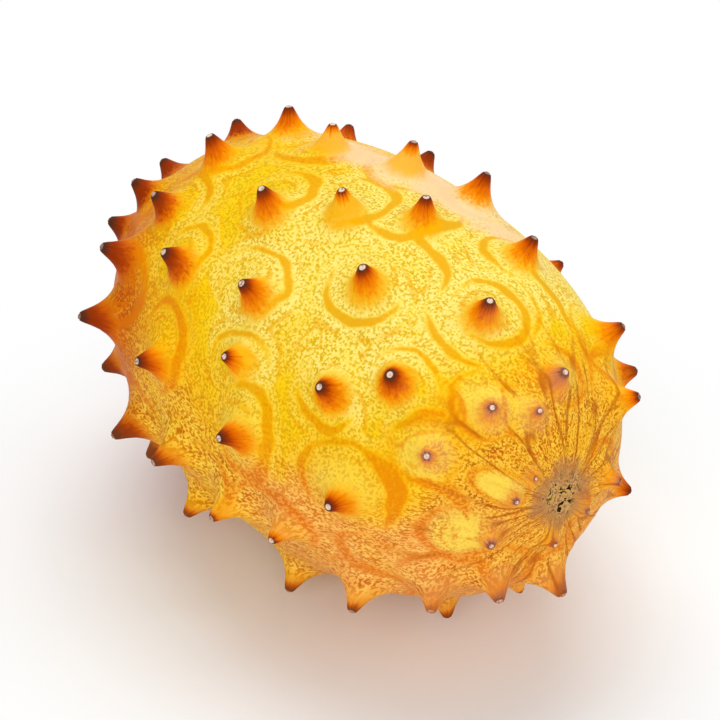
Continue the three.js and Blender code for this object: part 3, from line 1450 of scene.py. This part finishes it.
    def _reddened_and_shaded(self, graph: Graph, pattern: SkinPattern) -> bpy.types.NodeSocket:
        """Turns the sides red-brown towards the blossom end: partly the rind's own colour, partly
        painted shadow and orange reflected light from fruit lying beside it.

        Args:
            graph: the tree.
            pattern: the fruit's own directions.

        Returns:
            How strongly, from 0 to 1.
        """
        to_scar, sunny = graph.parts(pattern.flow)[0], pattern.sunny()
        cloud = graph.noise(pattern.place, 11, 2, 0.5)
        return graph.product(graph.fade(to_scar, *self.reddened_and_shaded_way),
                             graph.fade(sunny, *self.reddened_and_shaded_side),
                             graph.fade(cloud, 0.25, 0.55, 0.65, 1.0))

    def _ground(
        self, graph: Graph, pattern: SkinPattern, golden_share: Term, worn: Term, read: Reader
    ) -> bpy.types.NodeSocket:
        """Colours the mottled rind between the horns.

        Args:
            graph: the tree.
            pattern: the fruit's own directions.
            golden_share: how golden the rind is.
            worn: how worn it is.
            read: reads an attribute of the skin.

        Returns:
            The colour.
        """
        place = pattern.place
        to_scar, sunny = graph.parts(pattern.flow)[0], pattern.sunny()
        near = read("near_distance")
        colour = graph.mix(graph.fade(golden_share, 0.0, 0.45), self.pale, self.yellow)
        colour = graph.mix(graph.fade(golden_share, 0.3, 0.8), colour, self.golden)
        low = graph.product(graph.fade(sunny, *self.low_side), graph.fade(to_scar, *self.low_way),
                            graph.fade(to_scar, 12, 30, 0.4, 1.0))
        colour = graph.mix(graph.fade(worn, 0.4, 1.0), colour,
                           graph.mix(low, self.honey, self.orange))
        # red-brown sides: partly the rind's own colour, partly painted shadow with orange
        # reflected light
        reddened_and_shaded = self._reddened_and_shaded(graph, pattern)
        colour = graph.mix(reddened_and_shaded, colour, self.russet_in_shadow)
        swell = graph.fade(read("swell"), 0.0, 0.7 * MM)
        colour = graph.mix(graph.math("MULTIPLY", swell, 0.85), colour, self.lemon)

        # pale cells in a darker net, round where the rind is pale and drawn out where it is worn
        mottle = pattern.streaks(worn)
        patch = graph.fade(graph.noise(place, 6, 2, 0.6), 0.36, 0.56, 0.72, 1.0)
        plain = graph.mix(worn, graph.fade(near, 1.8, 4.5, 0.2, 1.0),
                          graph.fade(near, 1.2, 2.6, 0.3, 1.0))
        calm = graph.product(patch, plain,
                             graph.fade(read("line_gap"), 0.0, 0.9, 0.3, 1.0),
                             graph.math("SUBTRACT", 1.0, graph.product(
                                 swell, graph.fade(to_scar, 26, 16, 0.4, 0.85))))
        light = graph.mix(worn, graph.fade(mottle, 0.52, 0.36), graph.fade(mottle, 0.55, 0.42))
        light = graph.product(light, calm, 0.85)
        light = graph.product(light, graph.math("SUBTRACT", 1.0, graph.product(reddened_and_shaded, 0.7)),
                              graph.fade(to_scar, 34, 14, 1.0, 0.62))
        clumps = pattern.clumps()
        few = graph.product(worn, graph.fade(clumps, 0.42, 0.60, 0.0, self.thinned))
        light = graph.product(light, graph.math("SUBTRACT", 1.0, few))
        colour = graph.mix(light, colour, graph.mix(
            graph.fade(golden_share, 0.08, 0.42), self.cream,
            graph.mix(worn, self.sun, graph.mix(low, self.lemon, self.straw_pale))))
        dark = graph.mix(worn, graph.fade(mottle, 0.49, 0.61), graph.fade(mottle, 0.48, 0.57))
        dark = graph.product(dark, calm)
        dark = graph.product(dark, graph.math("SUBTRACT", 1.0, graph.product(reddened_and_shaded, 0.35)))
        sparse = graph.product(worn, graph.fade(clumps, 0.58, 0.40, 0.0, self.thinned))
        dark = graph.product(dark, graph.math("SUBTRACT", 1.0, sparse))
        colour = graph.mix(graph.product(dark, graph.fade(worn, 0.8, 0.2),
                                         graph.fade(golden_share, 0.2, 1.0, 0.95, 0.65)), colour,
                           graph.mix(reddened_and_shaded, self.olive, self.brick_in_shadow))
        colour = graph.mix(graph.product(dark, worn, graph.math(
            "SUBTRACT", 1.0, graph.math("MULTIPLY", low, 0.2))), colour, self.umber)
        return colour

    def _paint_sheen(
        self, graph: Graph, pattern: SkinPattern, worn: Term, colour: Term
    ) -> bpy.types.NodeSocket:
        """Paints a pale sheen, a broad highlight with a frayed edge, along the top.

        Args:
            graph: the tree.
            pattern: the fruit's own directions.
            worn: how worn the rind is.
            colour: the skin before it.

        Returns:
            The colour with the painted sheen.
        """
        place = pattern.place
        slant = graph.scaled(self.sheen_slant, graph.parts(place)[0])
        away = graph.vector("SUBTRACT", graph.vector("SUBTRACT", place, slant), self.sheen_place)
        away = graph.vector("LENGTH", graph.vector("DIVIDE", away, self.sheen_reach))
        frayed = graph.math("ADD", graph.math("MULTIPLY", graph.noise(place, 7, 2, 0.5), 1.7),
                            graph.math("MULTIPLY", pattern.streaks(worn), 0.9))
        away = graph.math("ADD", away, graph.math("SUBTRACT", frayed, 1.3))
        return graph.mix(graph.fade(away, *self.sheen_edge, 0.0, 0.88), colour, self.painted_sheen)

    def _lines(
        self, graph: Graph, pattern: SkinPattern, golden_share: Term, worn: Term, read: Reader,
        colour: Term,
    ) -> bpy.types.NodeSocket:
        """Draws the amber lines, their pale edges, and fainter lines beside them.

        Args:
            graph: the tree.
            pattern: the fruit's own directions.
            golden_share: how golden the rind is.
            worn: how worn it is.
            read: reads an attribute of the skin.
            colour: the skin before it.

        Returns:
            The colour with the lines.
        """
        place = pattern.place
        gap = read("line_gap")
        mottle = pattern.streaks(worn)
        halo = graph.product(graph.band(gap, 1.1, 0.4, 0.8),
                             graph.fade(golden_share, 0.7, 0.1, 0.04, 0.45),
                             graph.fade(mottle, 0.55, 0.46, 0.15, 1.0))
        colour = graph.mix(halo, colour, self.cream)
        fray = graph.math("SUBTRACT", graph.noise(place, 1.6, 2, 0.6), 0.5)
        frayed = graph.math("ADD", gap, graph.product(fray, 0.9))
        line = graph.fade(frayed, 0.32, -0.28)
        second = graph.product(graph.band(frayed, 2.3, 0.18, 0.4),
                               graph.fade(graph.noise(place, 6, 1), 0.47, 0.62), 0.7)
        loose = graph.noise(pattern.streamed(37, 2.4), 8.0, 2, 0.45, 0.9)
        loose = graph.product(graph.band(loose, 0.54, 0.008, 0.022), graph.fade(gap, 1.5, 3.0),
                              graph.fade(graph.noise(place, 9, 1), 0.50, 0.66), 0.7)
        ink = graph.math("MAXIMUM", line, graph.math("MAXIMUM", second, loose))
        grain = graph.math("SUBTRACT", mottle, 0.5)
        depth = graph.math("ADD", graph.product(fray, 0.5), graph.product(grain, 1.6))
        depth = graph.fade(graph.math("ADD", golden_share, depth), 0.25, 0.9)
        tint = graph.mix(depth, self.amber, self.tawny)
        tint = graph.mix(graph.fade(worn, 0.2, 1.0), tint, self.rust)
        # the lines turn red-brown too where the sides carry painted shadow
        tint = graph.mix(graph.product(self._reddened_and_shaded(graph, pattern), 0.6), tint, self.russet_in_shadow)
        thin = graph.fade(mottle, 0.54, 0.42, 0.0, 0.75)
        thin = graph.math("SUBTRACT", 1.0, graph.product(thin, graph.fade(worn, 0.2, 0.8)))
        return graph.mix(graph.product(ink, thin, 0.88), colour, tint)

    def _horn(
        self, graph: Graph, pattern: SkinPattern, worn: Term, read: Reader, colour: Term
    ) -> bpy.types.NodeSocket:
        """Colours the horns: orange feet with streaks, red flanks, dark necks, pale tips with a
        painted highlight, and painted shade on one side and underneath.

        Args:
            graph: the tree.
            pattern: the fruit's own directions.
            worn: how worn the rind is.
            read: reads an attribute of the skin.
            colour: the skin before it.

        Returns:
            The colour with the horns.
        """
        place = pattern.place
        to_scar, sunny = graph.parts(pattern.flow)[0], pattern.sunny()
        near, drop = read("near_distance"), read("near_drop")
        height, tone = read("near_height"), read("near_tone")
        bearing = graph.joined(graph.math("MULTIPLY", read("near_cos"), 3.0),
                               graph.math("MULTIPLY", read("near_sin"), 3.0),
                               graph.math("ADD", graph.math("MULTIPLY", near, 0.25),
                                          graph.math("MULTIPLY", tone, 40.0)))
        streak = graph.math("SUBTRACT", graph.noise(bearing, 0.6, 2, 0.6), 0.5)
        tall = graph.fade(height, 1.0, 6.5, 0.3, 1.0)
        # dark red horns at the blossom end: partly their own colour, partly painted shadow with
        # orange reflected light
        dark_red_and_shaded = graph.product(graph.fade(to_scar, *self.dark_red_and_shaded_way),
                              graph.fade(sunny, *self.dark_red_and_shaded_side))
        deep = graph.math("ADD", 0.22, graph.math("MULTIPLY", tone, 0.9))
        deep = graph.product(deep, tall,
                             graph.math("ADD", 1.0, graph.math("MULTIPLY", dark_red_and_shaded, 1.3)))
        # painted shade: the horn's dark rings reach further on its shadow side
        side = graph.math("SUBTRACT", graph.math("MULTIPLY", read("near_sin"), 0.9),
                          graph.math("MULTIPLY", read("near_cos"), 0.8))
        side = graph.product(side, graph.fade(near, 0.6, 2.6))
        mottle = pattern.streaks(worn)
        grain = graph.product(graph.math("SUBTRACT", mottle, 0.5), graph.fade(near, 1.0, 3.0), 2.4)
        spread = graph.math("ADD", graph.math("ADD", graph.product(streak, 1.6), side), grain)
        fall = graph.math("DIVIDE", graph.math("ADD", drop, spread), deep)
        wide = graph.math("ADD", graph.math("DIVIDE", near, tall), spread)
        wide = graph.math("SUBTRACT", wide, graph.math("MULTIPLY", dark_red_and_shaded, 0.4))
        back = graph.fade(graph.parts(place)[1], *self.back_depth)
        front = graph.math("SUBTRACT", 1.0, back)
        dry = graph.product(graph.fade(to_scar, *self.dry_way), front)
        # painted shade: horns underneath take darker shaded copies of their colours
        olive = graph.fade(sunny, *self.underside_shade_side, 0.0, 0.8)
        close = graph.fade(wide, *self.flame_reach)
        soft = graph.product(dark_red_and_shaded, 0.7)
        inner = graph.fade(wide, graph.math("ADD", graph.math("SUBTRACT", 3.2, dry), soft),
                           graph.math("SUBTRACT", graph.math("SUBTRACT", 1.9, dry), soft))

        def tint(fresh: Term, dried: Term, shaded: Term) -> bpy.types.NodeSocket:
            """One ring of colour, from those in the open, near the scar, and a darker copy
            underneath that paints shade.
            """
            return graph.mix(olive, graph.mix(dry, fresh, dried), shaded)

        # painted shade: the mauve blot round dry horns leans to their shadow side
        shade_lean = graph.product(read("near_cos"), graph.fade(near, 0.5, 2.5), -1.3)
        blot = graph.math("ADD", graph.math("ADD", near, shade_lean), graph.product(streak, 1.8))
        blot = graph.product(graph.fade(blot, 4.0, 1.0, 0.0, 0.8), dry, graph.fade(to_scar, 7, 14),
                             graph.fade(mottle, 0.42, 0.56, 0.35, 1.0))
        colour = graph.mix(blot, colour, self.mauve)
        fresh = graph.math("SUBTRACT", 1.0, graph.math(
            "MAXIMUM", graph.product(dry, 0.85), graph.product(worn, 0.75)))
        foot = graph.product(fresh, graph.fade(wide, *self.foot_reach, 0.0, 0.85))
        colour = graph.mix(foot, colour,
                           graph.mix(graph.product(dark_red_and_shaded, 0.6), self.golden, self.russet_in_shadow))
        # the flame is weaker near the scar, and underneath where it paints shade
        glow = graph.math("SUBTRACT", 1.0, graph.math(
            "MAXIMUM", graph.product(dry, 0.6), graph.product(olive, 0.5)))
        colour = graph.mix(graph.product(glow, close, graph.fade(fall, *self.flame_drop)), colour,
                           tint(graph.mix(graph.product(dark_red_and_shaded, 0.8), self.flame, self.russet_in_shadow),
                                self.flame, self.clay_in_shade))
        colour = graph.mix(graph.product(inner, graph.fade(fall, *self.ember_drop)), colour,
                           tint(graph.mix(graph.product(dark_red_and_shaded, 0.8), self.ember, self.brick_in_shadow),
                                self.mauve, self.umber))
        colour = graph.mix(graph.product(inner, graph.fade(fall, *self.maroon_drop)), colour,
                           tint(self.maroon, self.plum, self.bronze_in_shade))
        colour = graph.mix(graph.product(inner, graph.fade(fall, *self.neck_drop)), colour,
                           tint(self.neck, self.husk, self.bronze_in_shade))
        tip = graph.math("DIVIDE", near, graph.fade(height, 2.0, 7.0, 0.5, 1.0))
        # pale tips: partly the horn's own pale callus, partly a painted highlight; fainter at the
        # back and in painted shadow
        tip_and_highlight_share = graph.math("SUBTRACT", 1.0, graph.product(
            graph.math("MAXIMUM", dark_red_and_shaded, back), 0.7))
        colour = graph.mix(graph.product(tip_and_highlight_share, graph.fade(tip, *self.tip_reach)), colour,
                           tint(self.pale_tip_and_highlight, self.pale_tip_and_highlight, self.pale_tip_in_shade))
        chip = graph.fade(graph.noise(place, 0.55, 1, 0.5), 0.52, 0.62, 0.0, 0.7)
        return graph.mix(graph.product(chip, graph.fade(tip, *self.chip_reach)), colour, self.husk)

    def _scar(
        self, graph: Graph, pattern: SkinPattern, read: Reader, colour: Term
    ) -> tuple[bpy.types.NodeSocket, bpy.types.NodeSocket]:
        """Colours the dry scar and its dusty surround, and darkens the creases that run to it,
        partly their own colour and partly painted shade of deep furrows.

        Args:
            graph: the tree.
            pattern: the fruit's own directions.
            read: reads an attribute of the skin.
            colour: the skin before it.

        Returns:
            The colour, and the roughness of the whole skin.
        """
        to_scar = graph.parts(pattern.flow)[0]
        ragged = graph.math("SUBTRACT", graph.noise(pattern.place, 3.5, 3, 0.6), 0.5)
        above = graph.product(graph.parts(pattern.flow)[1], graph.fade(to_scar, 1, 6), 2.2)
        dust = graph.math("ADD", to_scar, graph.product(ragged, 9.0))
        dust = graph.math("SUBTRACT", dust, above)
        # creases darkened: partly the rind's colour, partly painted shade of deep furrows
        crease_shade = graph.product(pattern.creases(), graph.fade(to_scar, *self.crease_way),
                               graph.fade(to_scar, *self.crease_stop_way),
                               graph.fade(read("swell"), 0.1 * MM, 0.5 * MM, 0.75, 0.12))
        colour = graph.mix(crease_shade, colour, graph.mix(
            graph.fade(to_scar, *self.crease_tint_way), self.umber, self.tawny))
        colour = graph.mix(graph.fade(dust, *self.dust_way, 0.0, 0.75), colour, self.dusk)
        crumb = graph.noise(pattern.place, 0.95, 2, 0.6)
        inner = graph.fade(dust, *self.crust_way)
        colour = graph.mix(graph.product(inner, 0.7), colour, self.straw)
        colour = graph.mix(graph.product(inner, graph.fade(crumb, 0.47, 0.40)), colour, self.dusk)
        colour = graph.mix(graph.product(inner, graph.fade(crumb, 0.54, 0.59)), colour, self.bark)
        return colour, graph.fade(dust, *self.rough_way, self.roughness, self.scar_roughness)


# ---- the fruit ---------------------------------------------------------------------------


@dataclass
class HornedMelon:
    """The whole fruit, from the plain solid's horns to the finished skin."""

    egg: Egg = field(default_factory=Egg)
    tree: HornTree = field(default_factory=HornTree)
    finish: WaxySkin = field(default_factory=WaxySkin)

    def build(self, solid: bpy.types.Object) -> bpy.types.Object:
        """Makes the fruit as one plain mesh.

        Args:
            solid: the CAD node that the fruit stands for.

        Returns:
            The finished piece.
        """
        horns = HornReader(self.egg).read(solid)
        feet = HornField(self.egg, horns).build()
        arcs = ArcField(self.egg, horns).build()
        skin = BareSkin(self.egg).build(horns)
        tree = self.tree.build()
        modifier = skin.modifiers.new("raise_horns", "NODES")
        modifier.node_group = tree
        names = {item.name: item.identifier for item in tree.interface.items_tree
                 if item.item_type == "SOCKET" and item.in_out == "INPUT"}
        for name, value in self.tree.inputs(feet, arcs, self.finish.build()).items():
            modifier[names[name]] = value
        skin.update_tag()
        graph = bpy.context.evaluated_depsgraph_get()
        mesh = bpy.data.meshes.new_from_object(skin.evaluated_get(graph), depsgraph=graph)
        skin.modifiers.clear()
        fruit = bpy.data.objects.new(NODE + "_fruit", mesh)
        bpy.context.scene.collection.objects.link(fruit)
        for scaffold in (skin, feet, arcs):
            bpy.data.objects.remove(scaffold)
        mesh.shade_smooth()
        return fruit

    def dress(self, fruit: bpy.types.Object) -> None:
        """Ties the piece to the frame.

        Args:
            fruit: the finished piece.
        """
        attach(fruit, BODY)
        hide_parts(NODE)


# ---- the studio --------------------------------------------------------------------------


@dataclass(frozen=True)
class Lamp:
    """A soft square light that looks at the fruit."""

    name: str
    place: Triple
    side: float
    power: float
    tint: Triple = (1.0, 1.0, 1.0)

    def build(self, target: Vector) -> bpy.types.Object:
        """Adds the light.

        Args:
            target: the point it looks at.

        Returns:
            The light.
        """
        data = bpy.data.lights.new(self.name, "AREA")
        data.shape = "SQUARE"
        data.size = self.side
        data.energy = self.power
        data.color = self.tint
        lamp = bpy.data.objects.new(self.name, data)
        lamp.location = self.place
        lamp.rotation_euler = (target - lamp.location).to_track_quat("-Z", "Y").to_euler()
        bpy.context.scene.collection.objects.link(lamp)
        return lamp


@dataclass(frozen=True)
class Studio:
    """A plain white table under soft daylight, with the camera looking down at the scar end.

    Lengths are in metres, angles in degrees, and the lens and its sensor in millimetres.
    """

    floor_side: float = 6.0
    floor_white: float = 0.9
    floor_seen: Triple = (0.93, 0.97, 0.99)
    white_from: float = 0.055
    white_at: float = 0.115
    sky: float = 0.46
    lamps: tuple[Lamp, ...] = (
        Lamp("window", (-0.30, 0.15, 0.95), 0.8, 5.0, (1.0, 0.99, 0.97)),
        Lamp("front", (0.75, -0.75, 0.55), 0.8, 5.8, (1.0, 0.99, 0.98)),
        Lamp("rim", (0.65, 0.80, 0.35), 0.8, 2.2, (1.0, 0.99, 0.98)),
    )
    camera_azimuth: float = 50.98
    camera_elevation: float = 31.86
    camera_distance: float = 0.549
    camera_roll: float = 2.7
    camera_near: float = 0.01
    camera_far: float = 20.0
    lens: float = 148.0
    sensor: float = 36.0

    def build(self, target: Vector) -> None:
        """Sets up the floor, the light and the camera.

        Args:
            target: the point that the lamps and the camera look at.
        """
        self._floor()
        self._sky()
        for lamp in self.lamps:
            lamp.build(target)
        self._camera(target)
        bpy.context.scene.view_settings.view_transform = "Standard"

    def _floor(self) -> None:
        """A wide white table that keeps the fruit's shadow."""
        half = self.floor_side / 2
        mesh = bpy.data.meshes.new("table")
        mesh.from_pydata([(-half, -half, 0), (half, -half, 0), (half, half, 0), (-half, half, 0)],
                         [], [(0, 1, 2, 3)])
        table = bpy.data.objects.new("table", mesh)
        bpy.context.scene.collection.objects.link(table)
        made = bpy.data.materials.new("white_table")
        made.use_nodes = True
        made.node_tree.nodes.clear()
        graph = Graph(made.node_tree)
        matt = graph.node("ShaderNodeBsdfDiffuse")
        seen = graph.node("ShaderNodeLightPath").outputs["Is Camera Ray"]
        shown, real = self.floor_seen + (1.0,), (self.floor_white,) * 3 + (1.0,)
        graph.feed(matt.inputs["Color"], graph.mix(seen, real, shown))
        place = graph.node("ShaderNodeTexCoord").outputs["Object"]
        far = graph.fade(graph.vector("LENGTH", place), self.white_from, self.white_at)
        blank = graph.node("ShaderNodeEmission")
        blank.inputs["Color"].default_value = (1.0, 1.0, 1.0, 1.0)
        either = graph.node("ShaderNodeMixShader")
        graph.feed(either.inputs[0], graph.product(seen, far))
        graph.feed(either.inputs[1], matt.outputs[0])
        graph.feed(either.inputs[2], blank.outputs[0])
        leave = graph.node("ShaderNodeOutputMaterial")
        graph.feed(leave.inputs["Surface"], either.outputs[0])
        mesh.materials.append(made)

    def _sky(self) -> None:
        """Even daylight all round, and plain white where it is seen."""
        world = bpy.data.worlds.new("daylight")
        world.use_nodes = True
        world.node_tree.nodes.clear()
        graph = Graph(world.node_tree)
        path = graph.node("ShaderNodeLightPath").outputs
        seen = graph.math("MAXIMUM", path["Is Camera Ray"], path["Is Glossy Ray"])
        seen = graph.math("MAXIMUM", seen, path["Is Transmission Ray"])
        light = graph.node("ShaderNodeBackground")
        light.inputs["Color"].default_value = (1.0, 1.0, 1.0, 1.0)
        graph.feed(light.inputs["Strength"], graph.fade(seen, 0.0, 1.0, self.sky, 1.0))
        leave = graph.node("ShaderNodeOutputWorld")
        graph.feed(leave.inputs["Surface"], light.outputs[0])
        bpy.context.scene.world = world

    def _camera(self, target: Vector) -> None:
        """Looks down at the fruit from beyond its scar end.

        Args:
            target: the point it looks at.
        """
        turn, tilt = math.radians(self.camera_azimuth), math.radians(self.camera_elevation)
        back = Vector((math.sin(turn) * math.cos(tilt), -math.cos(turn) * math.cos(tilt),
                       math.sin(tilt)))
        data = bpy.data.cameras.new("camera")
        data.lens = self.lens
        data.sensor_width = self.sensor
        data.clip_start, data.clip_end = self.camera_near, self.camera_far
        camera = bpy.data.objects.new("camera", data)
        camera.location = target + back * self.camera_distance
        level = (-back).to_track_quat("-Z", "Y")
        roll = Quaternion((0.0, 0.0, 1.0), math.radians(self.camera_roll))
        camera.rotation_euler = (level @ roll).to_euler()
        bpy.context.scene.collection.objects.link(camera)
        bpy.context.scene.camera = camera


def main() -> None:
    """Builds the fruit and the studio round it, and notes the sizes."""
    logging.basicConfig(level=logging.INFO, format="%(name)s: %(message)s")
    melon = HornedMelon()
    fruit = melon.build(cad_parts[NODE])
    melon.dress(fruit)
    log.info("%s: %d triangles on %s", fruit.name, len(fruit.data.polygons), BODY)
    Studio().build(Vector(melon.egg.centre))


if __name__ == "__main__":
    main()
